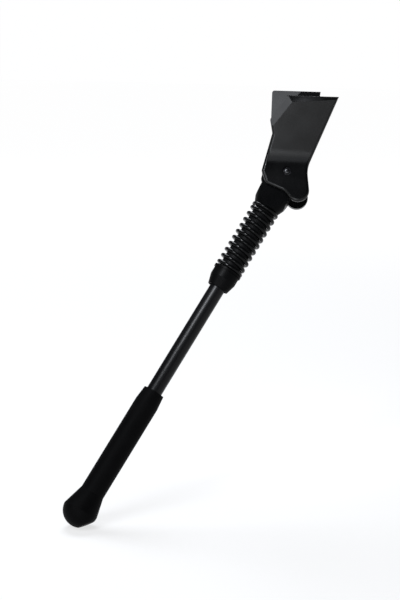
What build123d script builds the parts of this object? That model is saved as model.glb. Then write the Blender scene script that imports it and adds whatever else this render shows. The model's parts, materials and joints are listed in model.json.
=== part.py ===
from build123d import *
from math import acos, atan2, cos, degrees, hypot, pi, radians, sin, tan
import os

# Bicycle kickstand: a two-cheek bracket that bolts under the chain stays, and a
# spring-loaded leg that swings on one pin from deployed (down and forward) to folded.
# Frame: origin at the bolt hole on the mount plate's top face, +X to the bike's rear,
# -Y outboard, +Z up. The leg swings in a plane that leans outboard by the splay angle.

# Angles, degrees
SPLAY = 22.0            # lean of the swing plane, so that the foot stands clear of the bike
LEG_RAKE = 29.0         # deployed leg, forward of straight down in the swing plane
FOLD_ANGLE = 118.0      # swing from deployed to folded
CHEEK_BEND = 27.0       # outboard bend of the outer cheek above the pin

# Pin centre from the bolt hole
PIVOT_FORWARD = 9.9
PIVOT_OUTBOARD = 9.2
PIVOT_DROP = 48.0

# Bracket
CHEEK_THICK = 3.2
CHEEK_GAP = 16.4        # between the cheeks where the head swings
BEND_HEIGHT = 8.0       # bend line above the pin, on the outer face
BEND_RADIUS = 24.0      # hollow side of the bend
SEAT_RISE = 2.4         # cheek tops above the mount plate
SEAT_LENGTH = 31.0      # length of each cheek's top edge
OUTER_SEAT_FRONT = -0.9  # front end of the outer cheek's top edge, from the pin
INNER_SEAT_FRONT = -10.3  # front end of the inner cheek's top edge, from the pin
OUTER_EAR = (-11.6, 31.4)    # front corner of the outer cheek's slanted edge
OUTER_NECK = (-9.9, 22.8)    # hollow below that corner
INNER_SHOULDER = (-10.5, 40.9)  # foot of the inner cheek's upright front edge
INNER_NECK = (-8.4, 29.0)    # hollow below it
WAIST = (12.5, 1.5)     # hollow behind the pin
LOBE_CENTRE = (7.1, -12.2)
LOBE_RADIUS = 7.0
SADDLE = (-1.1, -13.0)  # hollow in the lower edge, above the head
TOE = (-12.9, -8.3)     # lower front corner
NOSE = (-15.8, -0.5)    # foremost point
WAIST_FILLET = 18.0
SADDLE_FILLET = 9.0
CORNER_FILLET = 2.4
EDGE_ROUND = 1.8        # coined edge round the outer cheek
BEVEL_DEPTH = 2.0       # bevels on the outer cheek's top and slanted edges
BEVEL_WIDE = 4.2
BEVEL_NARROW = 1.2
EAR_LOW = (-10.6, 39.9)  # bevel across the inner cheek's upper front corner, at its front edge
EAR_HIGH = (8.0, 57.4)  # the same bevel at the top edge
EAR_DEPTH = 2.2
SEAT_CORNER = 1.5       # round of the inner cheek's upper front corner
PLATE_LENGTH = 21.0
PLATE_THICK = 5.0
BOLT_CLEAR = 10.5       # hole for an M10 bolt
NUT_FLATS = 16.0
NUT_HEIGHT = 8.0
NUT_BORE = 8.5          # M10 thread, across its crests
NUT_CHAMFER = 30.0      # degrees
STOP_THICK = 4.0
STOP_WIDTH = 6.0
STOP_CLEAR = 0.2        # head to stop bar, at either end of the swing

# Pivot pin
PIN_DIAMETER = 6.0
PIN_END_DIAMETER = 4.6  # shouldered ends in the cheeks
PIN_TIP_DIAMETER = 3.6  # domed, peened tips
PIN_TIP_PROUD = 0.2
PIN_SINK_DIAMETER = 5.4
PIN_SINK_DEPTH = 0.9
DETENT_DEPTH = 1.0      # flats that hold the leg at both ends of the swing
PIN_FIT = 0.03          # radial, pin in cheeks
PIVOT_FIT = 0.05        # radial, head on pin

# Head
HEAD_WIDTH = 20.0
HEAD_CLEAR = 0.2        # each side, between the cheeks
HEAD_LENGTH = 24.8      # pin to spring seat
HEAD_END_DIAMETER = 16.8
HEAD_CONE = 24.0        # half angle of the turned lower end
EYE_EDGE = 0.6

# Leg, lengths along the rod from the pin
ROD_DIAMETER = 10.0
ROD_END = 238.0
ROD_TIP = 2.4           # rod left above the pin slot
ROD_CHAMFER = 1.0
SLIDE_TRAVEL = 1.2      # rise of the rod over the pin's round as the leg swings
SLOT_FIT = 0.1          # each side, rod slot on pin
ROD_FIT = 0.1           # radial, rod in head, tube, collar and sleeve
SLIDE_CLEAR = 0.3

# Spring and what holds it
SPRING_LENGTH = 46.3
SPRING_OUTER = 18.4
SPRING_WIRE = 2.4
SPRING_PITCH = 4.45
SPRING_CLOSED = 0.5     # turns laid flat at each end
SPRING_CLOSED_RISE = 0.3  # rise of the wire over a flat end
SPRING_STEPS = 12       # points in a turn
TUBE_OUTER = 13.2
TUBE_SOCKET = 3.0       # depth of the tube in the head
COLLAR_LENGTH = 12.7
COLLAR_RIM = 18.2
COLLAR_RIM_THICK = 1.4
COLLAR_BODY = 16.9
COLLAR_STRAIGHT = 6.5
COLLAR_END = 13.4
RING_WIRE = 1.6
RING_DEPTH = 0.6        # how far the snap ring sits in the rod
RING_DROP = 9.0         # from the collar's top to the ring
RING_OPENING = 30.0     # degrees
RING_CLEAR = 0.05

# Foot sleeve
SLEEVE_START = 159.2
SLEEVE_RIM = 13.3
SLEEVE_TAPER = 8.6
SLEEVE_BODY = 15.1
SLEEVE_LENGTH = 71.5    # rim to the start of the foot
FOOT_RADIUS = 10.9
FOOT_RISE = 12.6        # sleeve to the ball's centre
FOOT_LEAD = 0.5         # ball ahead of the leg's line
FOOT_TILT = 5.0         # rim of the ball, lower in front
SOLE_ANGLE = 52.0       # flat side of the ball, back from the leg's line
SOLE_REACH = 9.6        # flat side from the ball's centre
SOLE_EDGE = 2.0

# Swing plane: x to the rear, y up the plane, z outboard along the pin
PIVOT = Vector(-PIVOT_FORWARD, -PIVOT_OUTBOARD, -PIVOT_DROP)
OUTBOARD = Vector(0, -cos(radians(SPLAY)), sin(radians(SPLAY)))
UPWARD = Vector(0, sin(radians(SPLAY)), cos(radians(SPLAY)))
REARWARD = Vector(1, 0, 0)
SWING = Plane(origin=PIVOT, x_dir=REARWARD, z_dir=OUTBOARD)
SECTION = Plane(origin=PIVOT, x_dir=OUTBOARD, z_dir=-REARWARD)

# Leg plane: z down the leg from the pin, y outboard, x across the leg to the rear
RAKE = radians(LEG_RAKE)
LEG_DOWN = REARWARD * -sin(RAKE) + UPWARD * -cos(RAKE)
LEG_ACROSS = REARWARD * cos(RAKE) + UPWARD * -sin(RAKE)
LEG = Plane(origin=PIVOT, x_dir=LEG_ACROSS, z_dir=LEG_DOWN)

INNER_FACE = CHEEK_GAP / 2
OUTER_FACE = INNER_FACE + CHEEK_THICK
HALF_BEND = radians(CHEEK_BEND / 2)
HEAD_THICK = CHEEK_GAP - 2 * HEAD_CLEAR
PIN_RADIUS = PIN_DIAMETER / 2
ROD_RADIUS = ROD_DIAMETER / 2
BORE_RADIUS = ROD_RADIUS + ROD_FIT
SLOT_TOP = PIN_RADIUS + PIVOT_FIT
SPRING_END = HEAD_LENGTH + SPRING_LENGTH
FAR = 200.0             # reach of cutting bodies

# Outer cheek's upper leaf: x to the rear, y up the leaf from the bend, z out of its face
BEND_POINT = PIVOT + OUTBOARD * OUTER_FACE + UPWARD * BEND_HEIGHT
LEAF_NORMAL = OUTBOARD * cos(2 * HALF_BEND) + UPWARD * -sin(2 * HALF_BEND)
LEAF = Plane(origin=BEND_POINT, x_dir=REARWARD, z_dir=LEAF_NORMAL)
LEAF_TOP = (SEAT_RISE - BEND_POINT.Z) / LEAF.y_dir.Z

# Plane halfway between the cheek's two leaves, on which its outline is drawn
HALFWAY_NORMAL = OUTBOARD * cos(HALF_BEND) + UPWARD * -sin(HALF_BEND)
HALFWAY = Plane(origin=PIVOT + OUTBOARD * OUTER_FACE, x_dir=REARWARD, z_dir=HALFWAY_NORMAL)
OUTER_TOP = (BEND_HEIGHT + LEAF_TOP) * cos(HALF_BEND)
INNER_TOP = (SEAT_RISE - PIVOT.Z + OUTER_FACE * OUTBOARD.Z) / UPWARD.Z


def tangent_point(point, side):
    """Point where a line from outside touches the lobe, on the given side of it."""
    reach = Vector(*point) - Vector(*LOBE_CENTRE)
    angle = degrees(atan2(reach.Y, reach.X)) + side * degrees(acos(LOBE_RADIUS / reach.length))
    return Vector(*LOBE_CENTRE) + Vector(LOBE_RADIUS, 0).rotate(Axis.Z, angle)


def lobe_low_point():
    """Point of the lobe that is farthest from the pin."""
    return Vector(*LOBE_CENTRE) * (1 + LOBE_RADIUS / hypot(*LOBE_CENTRE))


def cheek_outline(upper_points, corners):
    """Cheek blank: shared lower half with waist, lobe and saddle, and its own upper half."""
    start = tangent_point(SADDLE, 1)
    end = tangent_point(WAIST, -1)
    border = Polyline(start, SADDLE, TOE, NOSE, *upper_points, WAIST, end)
    border += ThreePointArc(end, lobe_low_point(), start)
    blank = make_face(border)
    rounds = [(WAIST, WAIST_FILLET), (SADDLE, SADDLE_FILLET), (TOE, CORNER_FILLET)]
    rounds += [(NOSE, CORNER_FILLET)] + [(corner, CORNER_FILLET) for corner in corners]
    for corner, radius in rounds:
        vertex = blank.vertices().sort_by_distance(Vector(*corner))[0]
        blank = fillet(vertex, radius)
    return blank


def beyond(start, end):
    """Point past the end of a line, so that the seat cut trims the outline."""
    return Vector(*end) * 2 - Vector(*start)


def leaf_face(distance, radius):
    """Bent line of one face of the outer cheek, in the section across the pin."""
    bend = BEND_HEIGHT + (OUTER_FACE - distance) * tan(HALF_BEND)
    top = (distance + FAR * sin(2 * HALF_BEND), bend + FAR * cos(2 * HALF_BEND))
    return FilletPolyline((distance, -FAR), (distance, bend), top, radius=radius)


def between(first, second):
    """Body along X between two lines drawn in the section across the pin."""
    border = first + second
    border += Line(first @ 0, second @ 0)
    border += Line(first @ 1, second @ 1)
    return extrude(SECTION * make_face(border), amount=FAR, both=True)


def channel():
    """Space between the two cheeks."""
    rear_line = Line((-INNER_FACE, -FAR), (-INNER_FACE, FAR))
    return between(rear_line, leaf_face(INNER_FACE, BEND_RADIUS + CHEEK_THICK))


def above_seat():
    """Everything above the level on which the chain stays sit."""
    return Location((0, 0, SEAT_RISE + FAR / 2)) * Box(2 * FAR, 2 * FAR, FAR)


def bevel(face, start, end, widths, depth):
    """Wedge that bevels the edge of a flat face from start to end, as wide at each as given."""
    run = Vector(*end) - Vector(*start)
    edge = (face.x_dir * run.X + face.y_dir * run.Y).normalized()
    inward = face.z_dir.cross(edge) * -1
    ends = []
    for point, width, push in zip((start, end), widths, (-1, 1)):
        place = face.from_local_coords(Vector(*point)) + edge * (push * BEVEL_WIDE)
        slope = depth / width
        low = (-width, -2 * width * slope)
        wedge = make_face(Polyline((width, 0), (width, BEVEL_WIDE), (-width, BEVEL_WIDE), low, close=True))
        ends.append(Plane(origin=place, x_dir=inward, z_dir=edge * -1) * wedge)
    return loft(ends, ruled=True)


def pin_hole(face, direction):
    """Pin hole with its countersink, drilled in from one cheek's outside."""
    radius = PIN_END_DIAMETER / 2 + PIN_FIT
    sink = PIN_SINK_DIAMETER / 2
    profile = Polyline(
        (0, -CHEEK_THICK),
        (sink, -CHEEK_THICK),
        (sink, 0),
        (radius, PIN_SINK_DEPTH),
        (radius, CHEEK_GAP),
        (0, CHEEK_GAP),
        close=True,
    )
    tool = revolve(Plane.XZ * make_face(profile), Axis.Z)
    return Plane(origin=PIVOT + direction * face, x_dir=REARWARD, z_dir=-direction) * tool


def outer_cheek():
    """Pressed cheek, bent outboard above the pin, with bevelled top and slanted edges."""
    plate = between(
        leaf_face(INNER_FACE, BEND_RADIUS + CHEEK_THICK), leaf_face(OUTER_FACE, BEND_RADIUS)
    )
    front = (OUTER_SEAT_FRONT, OUTER_TOP)
    rear = (OUTER_SEAT_FRONT + SEAT_LENGTH, OUTER_TOP)
    upper = [OUTER_NECK, OUTER_EAR, beyond(OUTER_EAR, front), beyond(WAIST, rear)]
    outline = HALFWAY * cheek_outline(upper, [OUTER_NECK, OUTER_EAR])
    cheek = plate & extrude(outline, amount=FAR, both=True)
    cheek -= above_seat()
    flat = cheek.faces().sort_by_distance(PIVOT + OUTBOARD * OUTER_FACE)[0]
    cheek = fillet(flat.edges().sort_by(Axis(PIVOT, UPWARD))[0], EDGE_ROUND)
    ear = (OUTER_EAR[0], OUTER_EAR[1] / cos(HALF_BEND) - BEND_HEIGHT)
    crest = (front[0], LEAF_TOP)
    cheek -= bevel(LEAF, ear, crest, (BEVEL_WIDE, BEVEL_WIDE), BEVEL_DEPTH)
    cheek -= bevel(LEAF, crest, (rear[0], LEAF_TOP), (BEVEL_WIDE, BEVEL_NARROW), BEVEL_DEPTH)
    return cheek - pin_hole(OUTER_FACE, OUTBOARD)


def inner_cheek():
    """Flat pressed cheek on the wheel side, set forward at the top, its front corner bevelled."""
    front = (INNER_SEAT_FRONT, INNER_TOP)
    rear = (INNER_SEAT_FRONT + SEAT_LENGTH, INNER_TOP)
    upper = [INNER_NECK, INNER_SHOULDER, beyond(INNER_SHOULDER, front), beyond(WAIST, rear)]
    outline = SWING * cheek_outline(upper, [INNER_NECK, INNER_SHOULDER])
    cheek = extrude(outline.moved(Location(OUTBOARD * -OUTER_FACE)), amount=CHEEK_THICK, dir=OUTBOARD)
    cheek -= above_seat()
    cheek = fillet(cheek.edges().group_by(Axis.Z)[-1].sort_by(Axis.X)[0], SEAT_CORNER)
    face = Plane(origin=PIVOT + OUTBOARD * -INNER_FACE, x_dir=REARWARD, z_dir=OUTBOARD)
    along = Vector(*EAR_HIGH) - Vector(*EAR_LOW)
    corner = Vector(INNER_SEAT_FRONT, EAR_HIGH[1]) - Vector(*EAR_LOW)
    width = along.cross(corner).Z / along.length
    aside = along.normalized().rotate(Axis.Z, 90) * width
    cheek -= bevel(face, Vector(*EAR_LOW) + aside, Vector(*EAR_HIGH) + aside, (width, width), EAR_DEPTH)
    return cheek - pin_hole(OUTER_FACE, -OUTBOARD)


def mount_plate():
    """Cross plate welded between the cheeks, with the frame bolt's hole."""
    plate = Location((0, 0, -PLATE_THICK / 2)) * Box(PLATE_LENGTH, FAR, PLATE_THICK)
    plate &= channel()
    return plate - Cylinder(BOLT_CLEAR / 2, FAR)


def weld_nut():
    """Hexagon nut under the mount plate, chamfered below."""
    nut = extrude(RegularPolygon(NUT_FLATS / 2, 6, major_radius=False), amount=NUT_HEIGHT)
    spread = NUT_HEIGHT / tan(radians(NUT_CHAMFER))
    chamfered = Cone(NUT_FLATS / 2, NUT_FLATS / 2 + spread, NUT_HEIGHT)
    nut &= chamfered.moved(Location((0, 0, NUT_HEIGHT / 2)))
    nut -= Cylinder(NUT_BORE / 2, FAR)
    return Location((0, 0, -PLATE_THICK - NUT_HEIGHT)) * nut


def stop_bars():
    """Two bars welded between the cheeks, which end the swing on the head's two sides."""
    offset = HEAD_WIDTH / 2 + STOP_CLEAR + STOP_THICK / 2
    bars = []
    for angle, side in ((0, -1), (FOLD_ANGLE, 1)):
        bar = Location((side * offset, 0, STOP_WIDTH / 2)) * Box(STOP_THICK, FAR, STOP_WIDTH)
        bars.append((LEG * bar).rotate(Axis(PIVOT, OUTBOARD), angle) & channel())
    return bars


def pivot_pin():
    """Shouldered rivet pin with domed tips, and two detent flats where the rod hangs on it."""
    neck = PIN_END_DIAMETER / 2
    tip = PIN_TIP_DIAMETER / 2
    shank = OUTER_FACE - PIN_SINK_DEPTH
    end = OUTER_FACE + PIN_TIP_PROUD
    half = Line((0, 0), (PIN_RADIUS, 0)) + Line((PIN_RADIUS, 0), (PIN_RADIUS, INNER_FACE))
    half += Polyline((PIN_RADIUS, INNER_FACE), (neck, INNER_FACE), (neck, shank), (tip, shank))
    half += Spline((tip, shank), (0, end), tangents=((0, 1), (-1, 0)))
    half += Line((0, end), (0, 0))
    pin = revolve(Plane.XZ * make_face(half), Axis.Z)
    pin += mirror(pin, about=Plane.XY)
    pin = SWING * pin
    for angle in (0, FOLD_ANGLE):
        flat = Location((0, 0, -PIN_RADIUS - PIN_DIAMETER / 2 + DETENT_DEPTH))
        cut = LEG * (flat * Box(PIN_DIAMETER, 2 * BORE_RADIUS, PIN_DIAMETER))
        pin -= cut.rotate(Axis(PIVOT, OUTBOARD), angle)
    return pin


def pivot_head():
    """Flat-sided head with a round eye on the pin and a turned lower end for the spring."""
    body = Location((0, 0, HEAD_LENGTH / 2)) * Box(HEAD_WIDTH, HEAD_THICK, HEAD_LENGTH)
    cone_top = HEAD_END_DIAMETER / 2 + HEAD_LENGTH * tan(radians(HEAD_CONE))
    body &= Location((0, 0, HEAD_LENGTH / 2)) * Cone(cone_top, HEAD_END_DIAMETER / 2, HEAD_LENGTH)
    eye = Rot(90, 0, 0) * Cylinder(HEAD_WIDTH / 2, HEAD_THICK)
    body += chamfer(eye.edges().filter_by(GeomType.CIRCLE), EYE_EDGE)
    bore_top = -(SLOT_TOP + ROD_TIP + SLIDE_TRAVEL + SLIDE_CLEAR)
    bore_length = HEAD_LENGTH - bore_top
    body -= Location((0, 0, bore_top + bore_length / 2)) * Cylinder(BORE_RADIUS, bore_length)
    socket = Cylinder(TUBE_OUTER / 2 + PIVOT_FIT, TUBE_SOCKET)
    body -= Location((0, 0, HEAD_LENGTH - TUBE_SOCKET / 2)) * socket
    body -= Rot(90, 0, 0) * Cylinder(PIN_RADIUS + PIVOT_FIT, 2 * HEAD_THICK)
    return LEG * body


def guide_tube():
    """Tube from the head down the inside of the spring."""
    length = TUBE_SOCKET + SPRING_LENGTH - SLIDE_TRAVEL - SLIDE_CLEAR
    tube = Cylinder(TUBE_OUTER / 2, length) - Cylinder(BORE_RADIUS, length)
    return LEG * (Location((0, 0, HEAD_LENGTH - TUBE_SOCKET + length / 2)) * tube)


def leg_rod():
    """Round rod, slotted over the pin at the top and grooved for the snap ring."""
    top = -(SLOT_TOP + ROD_TIP)
    rod = Location((0, 0, (top + ROD_END) / 2)) * Cylinder(ROD_RADIUS, ROD_END - top)
    rod = chamfer(rod.edges().filter_by(GeomType.CIRCLE), ROD_CHAMFER)
    slot_end = SLOT_TOP + SLIDE_TRAVEL + SLOT_FIT
    slot = Box(PIN_DIAMETER + 2 * SLOT_FIT, ROD_DIAMETER, slot_end + SLOT_TOP)
    rod -= Location((0, 0, (slot_end - SLOT_TOP) / 2)) * slot
    rod -= ring_groove(RING_CLEAR)
    return LEG * rod


def ring_groove(clearance):
    """Round groove in the rod for the snap ring, larger than it by the clearance."""
    middle = ROD_RADIUS - RING_DEPTH + RING_WIRE / 2
    return Location((0, 0, SPRING_END + RING_DROP)) * Torus(middle, RING_WIRE / 2 + clearance)


def retaining_ring():
    """Open snap ring of round wire that carries the collar on the rod."""
    middle = ROD_RADIUS - RING_DEPTH + RING_WIRE / 2
    wire = Plane.XZ * (Location((middle, 0, 0)) * Circle(RING_WIRE / 2))
    ring = revolve(wire, Axis.Z, 360 - RING_OPENING)
    return LEG * (Location((0, 0, SPRING_END + RING_DROP)) * ring)


def spring_collar():
    """Turned collar under the spring, recessed below for the snap ring."""
    recess = ROD_RADIUS - RING_DEPTH + RING_WIRE + RING_CLEAR
    shelf = RING_DROP - RING_WIRE / 2
    rim = COLLAR_RIM / 2
    body = COLLAR_BODY / 2
    profile = Polyline(
        (BORE_RADIUS, 0),
        (rim, 0),
        (rim, COLLAR_RIM_THICK),
        (body, COLLAR_RIM_THICK),
        (body, COLLAR_STRAIGHT),
        (COLLAR_END / 2, COLLAR_LENGTH),
        (recess, COLLAR_LENGTH),
        (recess, shelf),
        (BORE_RADIUS, shelf),
        close=True,
    )
    collar = revolve(Plane.XZ * make_face(profile), Axis.Z)
    return LEG * (Location((0, 0, SPRING_END)) * collar)


def coil_rise(turn, turns):
    """Height of the spring's wire after some turns: flat at both ends, even between."""
    lead = min(turn, SPRING_CLOSED) + max(0, turn - turns + SPRING_CLOSED)
    active = min(max(turn, SPRING_CLOSED), turns - SPRING_CLOSED) - SPRING_CLOSED
    return lead * SPRING_CLOSED_RISE / SPRING_CLOSED + active * SPRING_PITCH


def spring():
    """Left-hand compression spring round the guide tube, closed at both ends."""
    radius = (SPRING_OUTER - SPRING_WIRE) / 2
    height = SPRING_LENGTH - SPRING_WIRE
    turns = (height - 2 * SPRING_CLOSED_RISE) / SPRING_PITCH + 2 * SPRING_CLOSED
    count = round(turns * SPRING_STEPS)
    points = []
    for step in range(count + 1):
        turn = turns * step / count
        angle = 2 * pi * (SPRING_CLOSED - turn)
        points.append((radius * cos(angle), radius * sin(angle), coil_rise(turn, turns)))
    coil = Spline(*points)
    wire = Plane(origin=coil @ 0, z_dir=coil % 0) * Circle(SPRING_WIRE / 2)
    return LEG * (Location((0, 0, HEAD_LENGTH + SPRING_WIRE / 2)) * sweep(wire, path=coil, is_frenet=True))


def foot_sleeve():
    """Moulded sleeve over the rod's lower end, swelling to a ball foot."""
    rim = SLEEVE_RIM / 2
    body = SLEEVE_BODY / 2
    end = (0, SLEEVE_LENGTH)
    profile = Polyline((0, 0), (rim, 0), (body, SLEEVE_TAPER), (body, SLEEVE_LENGTH), end, close=True)
    sleeve = revolve(Plane.XZ * make_face(profile), Axis.Z)
    centre = Location((-FOOT_LEAD, 0, SLEEVE_LENGTH + FOOT_RISE))
    ball = centre * Rot(0, FOOT_TILT, 0) * Sphere(FOOT_RADIUS, arc_size1=0, align=Align.NONE)
    flare_start = Location((0, 0, SLEEVE_LENGTH)) * Circle(body)
    sleeve += loft([flare_start, centre * Rot(0, FOOT_TILT, 0) * Circle(FOOT_RADIUS)], ruled=True)
    side = centre * Rot(0, SOLE_ANGLE, 0) * Location((0, 0, SOLE_REACH + FOOT_RADIUS / 2))
    ball -= side * Box(2 * FOOT_RADIUS, 2 * FOOT_RADIUS, FOOT_RADIUS)
    sole = ball.faces().filter_by(GeomType.PLANE).sort_by(Axis.X)[-1]
    sleeve += fillet(sole.edges(), SOLE_EDGE)
    depth = ROD_END - SLEEVE_START + SLIDE_CLEAR
    sleeve -= Location((0, 0, depth / 2)) * Cylinder(BORE_RADIUS, depth)
    return LEG * (Location((0, 0, SLEEVE_START)) * sleeve)


PIECES = {
    "outer_cheek": outer_cheek,
    "inner_cheek": inner_cheek,
    "mount_plate": mount_plate,
    "weld_nut": weld_nut,
    "stop_bars": stop_bars,
    "pivot_pin": pivot_pin,
    "pivot_head": pivot_head,
    "guide_tube": guide_tube,
    "leg_rod": leg_rod,
    "spring": spring,
    "spring_collar": spring_collar,
    "retaining_ring": retaining_ring,
    "foot_sleeve": foot_sleeve,
}


def main():
    os.makedirs("parts", exist_ok=True)
    for name, make in PIECES.items():
        made = make()
        solids = made if isinstance(made, list) else made.solids()
        shape = solids[0] if len(solids) == 1 else Compound(children=list(solids))
        export_step(shape, f"parts/{name}.step")


main()
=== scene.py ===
import json
from math import cos, pi, radians, sin

import bpy
from mathutils import Matrix, Quaternion, Vector


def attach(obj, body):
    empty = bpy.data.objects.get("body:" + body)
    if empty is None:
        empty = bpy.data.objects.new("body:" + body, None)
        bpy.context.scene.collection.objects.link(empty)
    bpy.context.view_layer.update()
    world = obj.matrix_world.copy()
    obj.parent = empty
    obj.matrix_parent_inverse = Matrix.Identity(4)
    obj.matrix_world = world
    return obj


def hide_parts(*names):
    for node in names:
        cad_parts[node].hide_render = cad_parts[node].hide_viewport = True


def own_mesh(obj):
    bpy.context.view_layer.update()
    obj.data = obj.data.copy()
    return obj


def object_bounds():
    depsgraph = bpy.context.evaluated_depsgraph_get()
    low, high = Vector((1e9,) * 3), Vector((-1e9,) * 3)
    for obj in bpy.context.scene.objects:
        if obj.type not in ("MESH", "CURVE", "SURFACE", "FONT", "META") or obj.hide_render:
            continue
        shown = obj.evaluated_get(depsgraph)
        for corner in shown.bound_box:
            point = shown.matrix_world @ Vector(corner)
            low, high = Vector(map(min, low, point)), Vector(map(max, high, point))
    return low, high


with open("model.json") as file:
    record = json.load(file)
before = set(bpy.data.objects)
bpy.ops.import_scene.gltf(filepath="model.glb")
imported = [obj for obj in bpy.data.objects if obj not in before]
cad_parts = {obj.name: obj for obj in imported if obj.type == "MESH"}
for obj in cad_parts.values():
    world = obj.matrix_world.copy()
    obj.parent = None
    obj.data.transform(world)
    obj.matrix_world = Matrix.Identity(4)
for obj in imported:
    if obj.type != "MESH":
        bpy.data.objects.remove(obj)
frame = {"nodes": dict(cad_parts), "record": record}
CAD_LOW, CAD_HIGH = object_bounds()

NODES = frame["nodes"]
JOINTS = {joint["name"]: joint for joint in frame["record"]["behaviour"]["joints"]}

# Photograph's camera: image in pixels, sensor in millimetres, place and reach in metres, degrees
IMAGE_HEIGHT = 600
FOCAL_PIXELS = 1628.6
SENSOR_HEIGHT = 36.0
CAMERA_PLACE = Vector((-0.0347, -1.0264, 0.0745))
CAMERA_AZIMUTH = -1.53
CAMERA_ELEVATION = 11.33
CAMERA_ROLL = 1.58
CAMERA_REACH = 30

# Leg: its line from the pin, and the spring on it, in metres
PIN_CENTRE = Vector(JOINTS["leg_pivot"]["pos_m"])
PIN_AXIS = Vector(JOINTS["leg_pivot"]["axis"])
LEG_DOWN = -Vector(JOINTS["leg_slide"]["axis"])
SPRING_TOP = 0.0248
SPRING_LENGTH = 0.0463
SPRING_WIRE = 0.0024
SPRING_RADIUS = 0.0080
SPRING_PITCH = 0.00445

# Spring's closed ends: turns at each end and their rise in metres, then the mesh's fineness
SPRING_CLOSED = 0.5
SPRING_CLOSED_RISE = 0.0003
STEPS_IN_TURN = 40
STEPS_IN_WIRE = 16

# Middle of the part, which the lamps face, in metres
MIDDLE = Vector((-0.05, -0.03, -0.12))

# Stage: radius and wall in metres, and the corners of its round
STAGE_RADIUS = 4.0
STAGE_WALL = 0.5
STAGE_SIDES = 64

# Floor: grey for bounced light and for rays that see it, glow near and far, its rise in metres
FLOOR_PLAIN = 0.8
FLOOR_SHADE = 0.3
GLOW_NEAR = 0.69
GLOW_FAR = 0.97
GLOW_FROM = 0.4
GLOW_TO = 1.5
WORLD_COLOUR = (0.06, 0.062, 0.07, 1)

# Lamps: azimuth, elevation and roll in degrees, distance, width and height in metres, radiance
LAMP_COLOUR = (0.95, 0.985, 1.04)
LAMPS = {
    "key_box": (-32, 38, -25, 1.1, 0.42, 1.12, 5.4),
    "front_box": (-4, 8, 0, 1.6, 0.6, 0.88, 1.6),
    "low_box": (-10.8, -3.8, 0, 0.835, 0.34, 0.14, 8.0),
    "over_box": (-3, 64, 0, 1.1, 0.5, 0.3, 0.7),
    "top_box": (-160, 58, 0, 1.0, 0.5, 0.5, 12.0),
}

# Spot: how far down the leg it aims, angles in degrees, distance and radius in metres, fade, watts
SPOT_REACH = 0.083
SPOT_AZIMUTH = -26
SPOT_ELEVATION = 41
SPOT_DISTANCE = 0.42
SPOT_RADIUS = 0.05
SPOT_CONE = 18
SPOT_FADE = 1.0
SPOT_POWER = 9.5

# Noise in the finishes: clouds to the metre, octaves, the range in use, the grain's strength
CLOUD_SCALE = 90
CLOUD_DETAIL = 3
GRAIN_DETAIL = 2
NOISE_LOW = 0.3
NOISE_HIGH = 0.7
GRAIN_STRENGTH = 0.6

# Finishes: two shades, roughness range, grain to the metre, its height in metres, index or metal
FINISHES = {
    "bracket_coat": dict(dark=(0.0019, 0.0020, 0.0021), light=(0.0028, 0.0029, 0.0030),
                         roughness=(0.17, 0.23), grain=1400, height=0.00001, index=1.3),
    "pin_steel": dict(dark=(0.05, 0.05, 0.053), light=(0.08, 0.08, 0.083),
                      roughness=(0.20, 0.30), grain=1800, height=0.00002, metallic=1.0),
    "head_coat": dict(dark=(0.0015, 0.0016, 0.0018), light=(0.0023, 0.0024, 0.0026),
                      roughness=(0.28, 0.36), grain=1200, height=0.00001, index=1.1),
    "tube_plastic": dict(dark=(0.0030, 0.0030, 0.0032), light=(0.0046, 0.0046, 0.0048),
                         roughness=(0.45, 0.55), grain=1500, height=0.00001, index=1.12),
    "rod_coat": dict(dark=(0.0018, 0.0018, 0.0021), light=(0.0026, 0.0026, 0.0030),
                     roughness=(0.30, 0.35), grain=900, height=0.000004, index=1.24, stretch=14.0),
    "spring_coat": dict(dark=(0.0014, 0.0015, 0.0016), light=(0.0020, 0.0021, 0.0022),
                        roughness=(0.14, 0.20), grain=1600, height=0.00001, index=1.205),
    "collar_coat": dict(dark=(0.0016, 0.0016, 0.0017), light=(0.0024, 0.0024, 0.0025),
                        roughness=(0.36, 0.46), grain=1300, height=0.00001, index=1.1),
    "ring_steel": dict(dark=(0.30, 0.30, 0.31), light=(0.42, 0.42, 0.43),
                       roughness=(0.30, 0.40), grain=1600, height=0.00002, metallic=1.0),
    "foot_rubber": dict(dark=(0.0020, 0.0020, 0.0021), light=(0.0029, 0.0029, 0.0030),
                        roughness=(0.46, 0.58), grain=2200, height=0.00004, index=1.09),
}
WORN_BY = {
    "outer_cheek": "bracket_coat",
    "inner_cheek": "bracket_coat",
    "mount_plate": "bracket_coat",
    "weld_nut": "bracket_coat",
    "stop_bars": "bracket_coat",
    "pivot_pin": "pin_steel",
    "pivot_head": "head_coat",
    "guide_tube": "tube_plastic",
    "leg_rod": "rod_coat",
    "spring_collar": "collar_coat",
    "retaining_ring": "ring_steel",
    "foot_sleeve": "foot_rubber",
}


def node_material(name):
    """New material and its node tree."""
    material = bpy.data.materials.new(name)
    material.use_nodes = True
    return material, material.node_tree


def noise(tree, coordinates, scale, detail):
    """Noise texture on the object's own coordinates, scale in features to the metre."""
    texture = tree.nodes.new("ShaderNodeTexNoise")
    texture.inputs["Scale"].default_value = scale
    texture.inputs["Detail"].default_value = detail
    tree.links.new(coordinates, texture.inputs["Vector"])
    return texture.outputs["Fac"]


def map_range(tree, source, start, end, low, high):
    """Node that spreads the source, from start to end, between two values."""
    spread = tree.nodes.new("ShaderNodeMapRange")
    spread.inputs["From Min"].default_value = start
    spread.inputs["From Max"].default_value = end
    spread.inputs["To Min"].default_value = low
    spread.inputs["To Max"].default_value = high
    tree.links.new(source, spread.inputs["Value"])
    return spread


def ramp(tree, source, low, high):
    """Noise spread between two values."""
    return map_range(tree, source, NOISE_LOW, NOISE_HIGH, low, high).outputs["Result"]


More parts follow.
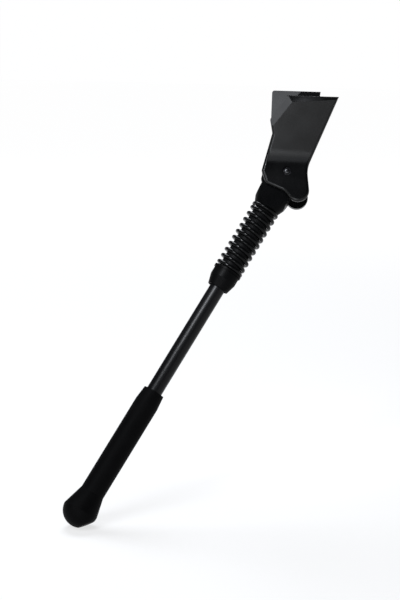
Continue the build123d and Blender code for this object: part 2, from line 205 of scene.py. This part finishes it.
def tint(tree, source, dark, light):
    """Colour between two, by source."""
    mix = tree.nodes.new("ShaderNodeMix")
    mix.data_type = "RGBA"
    mix.inputs["A"].default_value = (*dark, 1)
    mix.inputs["B"].default_value = (*light, 1)
    tree.links.new(source, mix.inputs["Factor"])
    return mix.outputs["Result"]


def bump(tree, source, height):
    """Bump whose full height is in metres."""
    node = tree.nodes.new("ShaderNodeBump")
    node.inputs["Strength"].default_value = GRAIN_STRENGTH
    node.inputs["Distance"].default_value = height
    tree.links.new(source, node.inputs["Height"])
    return node.outputs["Normal"]


def along_leg(tree, coordinates, stretch):
    """Coordinates squeezed along the leg's line, so that a texture is drawn out along the rod."""
    mapping = tree.nodes.new("ShaderNodeMapping")
    mapping.vector_type = "TEXTURE"
    mapping.inputs["Rotation"].default_value = LEG_DOWN.to_track_quat("Z", "Y").to_euler()
    mapping.inputs["Scale"].default_value = (1, 1, stretch)
    tree.links.new(coordinates, mapping.inputs["Vector"])
    return mapping.outputs["Vector"]


def coat(name, dark, light, roughness, grain, height, metallic=0.0, index=1.5, stretch=0.0):
    """Painted, moulded or drawn surface: clouded colour, uneven gloss and a fine grain."""
    material, tree = node_material(name)
    shader = tree.nodes["Principled BSDF"]
    place = tree.nodes.new("ShaderNodeTexCoord").outputs["Object"]
    if stretch:
        place = along_leg(tree, place, stretch)
    cloud = noise(tree, place, CLOUD_SCALE, CLOUD_DETAIL)
    fine = noise(tree, place, grain, GRAIN_DETAIL)
    colour = tint(tree, ramp(tree, cloud, 0, 1), dark, light)
    tree.links.new(colour, shader.inputs["Base Color"])
    tree.links.new(ramp(tree, cloud, *roughness), shader.inputs["Roughness"])
    tree.links.new(bump(tree, fine, height), shader.inputs["Normal"])
    shader.inputs["Metallic"].default_value = metallic
    shader.inputs["IOR"].default_value = index
    return material


def dress(node, material):
    """Gives a CAD node its finish."""
    piece = NODES[node]
    piece.data.materials.clear()
    piece.data.materials.append(material)


def coil_rise(turn, turns):
    """Height of the spring's wire after some turns: nearly flat at both ends, even between."""
    lead = min(turn, SPRING_CLOSED) + max(0, turn - turns + SPRING_CLOSED)
    active = min(max(turn, SPRING_CLOSED), turns - SPRING_CLOSED) - SPRING_CLOSED
    return lead * SPRING_CLOSED_RISE / SPRING_CLOSED + active * SPRING_PITCH


def tube_mesh(name, path, radius, sides):
    """Round wire along a path of points round the leg's line, closed at both ends."""
    vertices = []
    faces = []
    for index, point in enumerate(path):
        before = path[max(index - 1, 0)]
        after = path[min(index + 1, len(path) - 1)]
        along = (after - before).normalized()
        on_line = PIN_CENTRE + LEG_DOWN * (point - PIN_CENTRE).dot(LEG_DOWN)
        inward = (on_line - point).normalized()
        side = along.cross(inward).normalized()
        for step in range(sides):
            angle = 2 * pi * step / sides
            vertices.append(point + radius * (cos(angle) * inward + sin(angle) * side))
    for ring in range(len(path) - 1):
        low = ring * sides
        high = low + sides
        for step in range(sides):
            following = (step + 1) % sides
            faces.append((low + step, low + following, high + following, high + step))
    faces.append(tuple(range(sides - 1, -1, -1)))
    faces.append(tuple(range(len(vertices) - sides, len(vertices))))
    mesh = bpy.data.meshes.new(name)
    mesh.from_pydata(vertices, [], faces)
    mesh.shade_smooth()
    return mesh


def make_spring(material):
    """Coil spring round the leg, carried by the leg's body in place of the spring node."""
    across = PIN_AXIS.cross(LEG_DOWN).normalized()
    height = SPRING_LENGTH - SPRING_WIRE
    turns = (height - 2 * SPRING_CLOSED_RISE) / SPRING_PITCH + 2 * SPRING_CLOSED
    count = round(turns * STEPS_IN_TURN)
    path = []
    for step in range(count + 1):
        turn = turns * step / count
        angle = 2 * pi * (SPRING_CLOSED - turn)
        reach = SPRING_TOP + SPRING_WIRE / 2 + coil_rise(turn, turns)
        around = across * cos(angle) + PIN_AXIS * sin(angle)
        path.append(PIN_CENTRE + LEG_DOWN * reach + around * SPRING_RADIUS)
    mesh = tube_mesh("coil_spring", path, SPRING_WIRE / 2, STEPS_IN_WIRE)
    piece = bpy.data.objects.new("coil_spring", mesh)
    bpy.context.collection.objects.link(piece)
    piece.data.materials.append(material)
    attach(piece, "leg")
    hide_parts("spring")
    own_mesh(piece)


def make_pieces():
    """Finishes for every CAD node, and the spring that takes its node's place."""
    made = {name: coat(name, **finish) for name, finish in FINISHES.items()}
    for node, name in WORN_BY.items():
        dress(node, made[name])
    make_spring(made["spring_coat"])


def ring_of(radius, height):
    """Points round a circle at a height."""
    turns = [2 * pi * step / STAGE_SIDES for step in range(STAGE_SIDES)]
    return [(radius * cos(turn), radius * sin(turn), height) for turn in turns]


def stage_mesh():
    """Round floor under the part, with a low wall round it."""
    foot = ring_of(STAGE_RADIUS, CAD_LOW[2])
    top = ring_of(STAGE_RADIUS, CAD_LOW[2] + STAGE_WALL)
    faces = [tuple(range(STAGE_SIDES))]
    for step in range(STAGE_SIDES):
        following = (step + 1) % STAGE_SIDES
        faces.append((step, step + STAGE_SIDES, following + STAGE_SIDES, following))
    mesh = bpy.data.meshes.new("floor")
    mesh.from_pydata(foot + top, [], faces)
    return mesh


def seen_rays(tree):
    """1 for rays that see the background: straight, mirrored or through glass."""
    path = tree.nodes.new("ShaderNodeLightPath")
    total = path.outputs["Is Camera Ray"]
    for kind in ("Is Glossy Ray", "Is Transmission Ray"):
        most = tree.nodes.new("ShaderNodeMath")
        most.operation = "MAXIMUM"
        tree.links.new(total, most.inputs[0])
        tree.links.new(path.outputs[kind], most.inputs[1])
        total = most.outputs["Value"]
    return total


def floor_glow(tree):
    """Strength of the floor's own white: less near the part, where the lamps add to it."""
    place = tree.nodes.new("ShaderNodeTexCoord").outputs["Object"]
    reach = tree.nodes.new("ShaderNodeVectorMath")
    reach.operation = "DISTANCE"
    reach.inputs[1].default_value = (MIDDLE.x, MIDDLE.y, CAD_LOW[2])
    tree.links.new(place, reach.inputs[0])
    rise = map_range(tree, reach.outputs["Value"], GLOW_FROM, GLOW_TO, GLOW_NEAR, GLOW_FAR)
    rise.interpolation_type = "SMOOTHSTEP"
    return rise.outputs["Result"]


def matt(tree, shade):
    """Plain matt shader of one grey."""
    node = tree.nodes.new("ShaderNodeBsdfDiffuse")
    node.inputs["Color"].default_value = (shade, shade, shade, 1)
    return node.outputs["BSDF"]


def floor_white():
    """Matt grey that glows white to the rays that see it, and still takes a shadow there."""
    material, tree = node_material("floor_white")
    material.cycles.emission_sampling = "NONE"
    tree.nodes.clear()
    glow = tree.nodes.new("ShaderNodeEmission")
    tree.links.new(floor_glow(tree), glow.inputs["Strength"])
    seen = tree.nodes.new("ShaderNodeAddShader")
    tree.links.new(matt(tree, FLOOR_SHADE), seen.inputs[0])
    tree.links.new(glow.outputs["Emission"], seen.inputs[1])
    pick = tree.nodes.new("ShaderNodeMixShader")
    tree.links.new(seen_rays(tree), pick.inputs["Fac"])
    tree.links.new(matt(tree, FLOOR_PLAIN), pick.inputs[1])
    tree.links.new(seen.outputs["Shader"], pick.inputs[2])
    output = tree.nodes.new("ShaderNodeOutputMaterial")
    tree.links.new(pick.outputs["Shader"], output.inputs["Surface"])
    return material


def make_floor():
    """White floor and wall; the floor keeps the part's soft shadow."""
    floor = bpy.data.objects.new("floor", stage_mesh())
    bpy.context.collection.objects.link(floor)
    floor.data.materials.append(floor_white())


def make_world():
    """Dim studio above the wall."""
    world = bpy.data.worlds.new("studio")
    bpy.context.scene.world = world
    world.use_nodes = True
    world.node_tree.nodes["Background"].inputs["Color"].default_value = WORLD_COLOUR


def hang(name, lamp, place, aim, roll):
    """Puts a lamp at a place, facing a point and turned by the roll in degrees."""
    holder = bpy.data.objects.new(name, lamp)
    holder.location = place
    facing = (aim - place).to_track_quat("-Z", "Y")
    holder.rotation_euler = (facing @ Quaternion((0, 0, 1), radians(roll))).to_euler()
    bpy.context.collection.objects.link(holder)


def lamp_place(aim, azimuth, elevation, distance):
    """Place at a distance from a point, at an angle right of the front and above the level."""
    turn = radians(azimuth)
    rise = radians(elevation)
    return aim + distance * Vector((sin(turn) * cos(rise), -cos(turn) * cos(rise), sin(rise)))


def soft_box(name, azimuth, elevation, roll, distance, width, height, radiance):
    """Rectangular lamp that faces the part's middle, as bright as the radiance says."""
    lamp = bpy.data.lights.new(name, "AREA")
    lamp.shape = "RECTANGLE"
    lamp.size = width
    lamp.size_y = height
    lamp.color = LAMP_COLOUR
    lamp.energy = radiance * pi * width * height
    hang(name, lamp, lamp_place(MIDDLE, azimuth, elevation, distance), MIDDLE, roll)


def collar_spot():
    """Soft spot on the collar and the rod's upper end, which fades out to its rim."""
    lamp = bpy.data.lights.new("collar_spot", "SPOT")
    lamp.color = LAMP_COLOUR
    lamp.energy = SPOT_POWER
    lamp.shadow_soft_size = SPOT_RADIUS
    lamp.spot_size = radians(SPOT_CONE)
    lamp.spot_blend = SPOT_FADE
    aim = PIN_CENTRE + SPOT_REACH * LEG_DOWN
    place = lamp_place(aim, SPOT_AZIMUTH, SPOT_ELEVATION, SPOT_DISTANCE)
    hang("collar_spot", lamp, place, aim, 0)


def make_lights():
    """Tall key on the upper left, boxes in front, low down, above and behind, and the spot."""
    for name, setting in LAMPS.items():
        soft_box(name, *setting)
    collar_spot()


def make_camera():
    """The photograph's camera."""
    turn = radians(CAMERA_AZIMUTH)
    rise = radians(CAMERA_ELEVATION)
    roll = radians(CAMERA_ROLL)
    look = Vector((sin(turn) * cos(rise), cos(turn) * cos(rise), -sin(rise)))
    level = Vector((cos(turn), -sin(turn), 0))
    upright = level.cross(look)
    right = cos(roll) * level + sin(roll) * upright
    up = cos(roll) * upright - sin(roll) * level
    data = bpy.data.cameras.new("photo_camera")
    data.sensor_fit = "VERTICAL"
    data.sensor_height = SENSOR_HEIGHT
    data.lens = FOCAL_PIXELS * SENSOR_HEIGHT / IMAGE_HEIGHT
    data.clip_end = CAMERA_REACH
    camera = bpy.data.objects.new("photo_camera", data)
    bpy.context.collection.objects.link(camera)
    facing = Matrix((right, up, -look)).transposed().to_4x4()
    camera.matrix_world = Matrix.Translation(CAMERA_PLACE) @ facing
    bpy.context.scene.camera = camera


make_pieces()
make_floor()
make_world()
make_lights()
make_camera()
bpy.context.scene.view_settings.view_transform = "Standard"
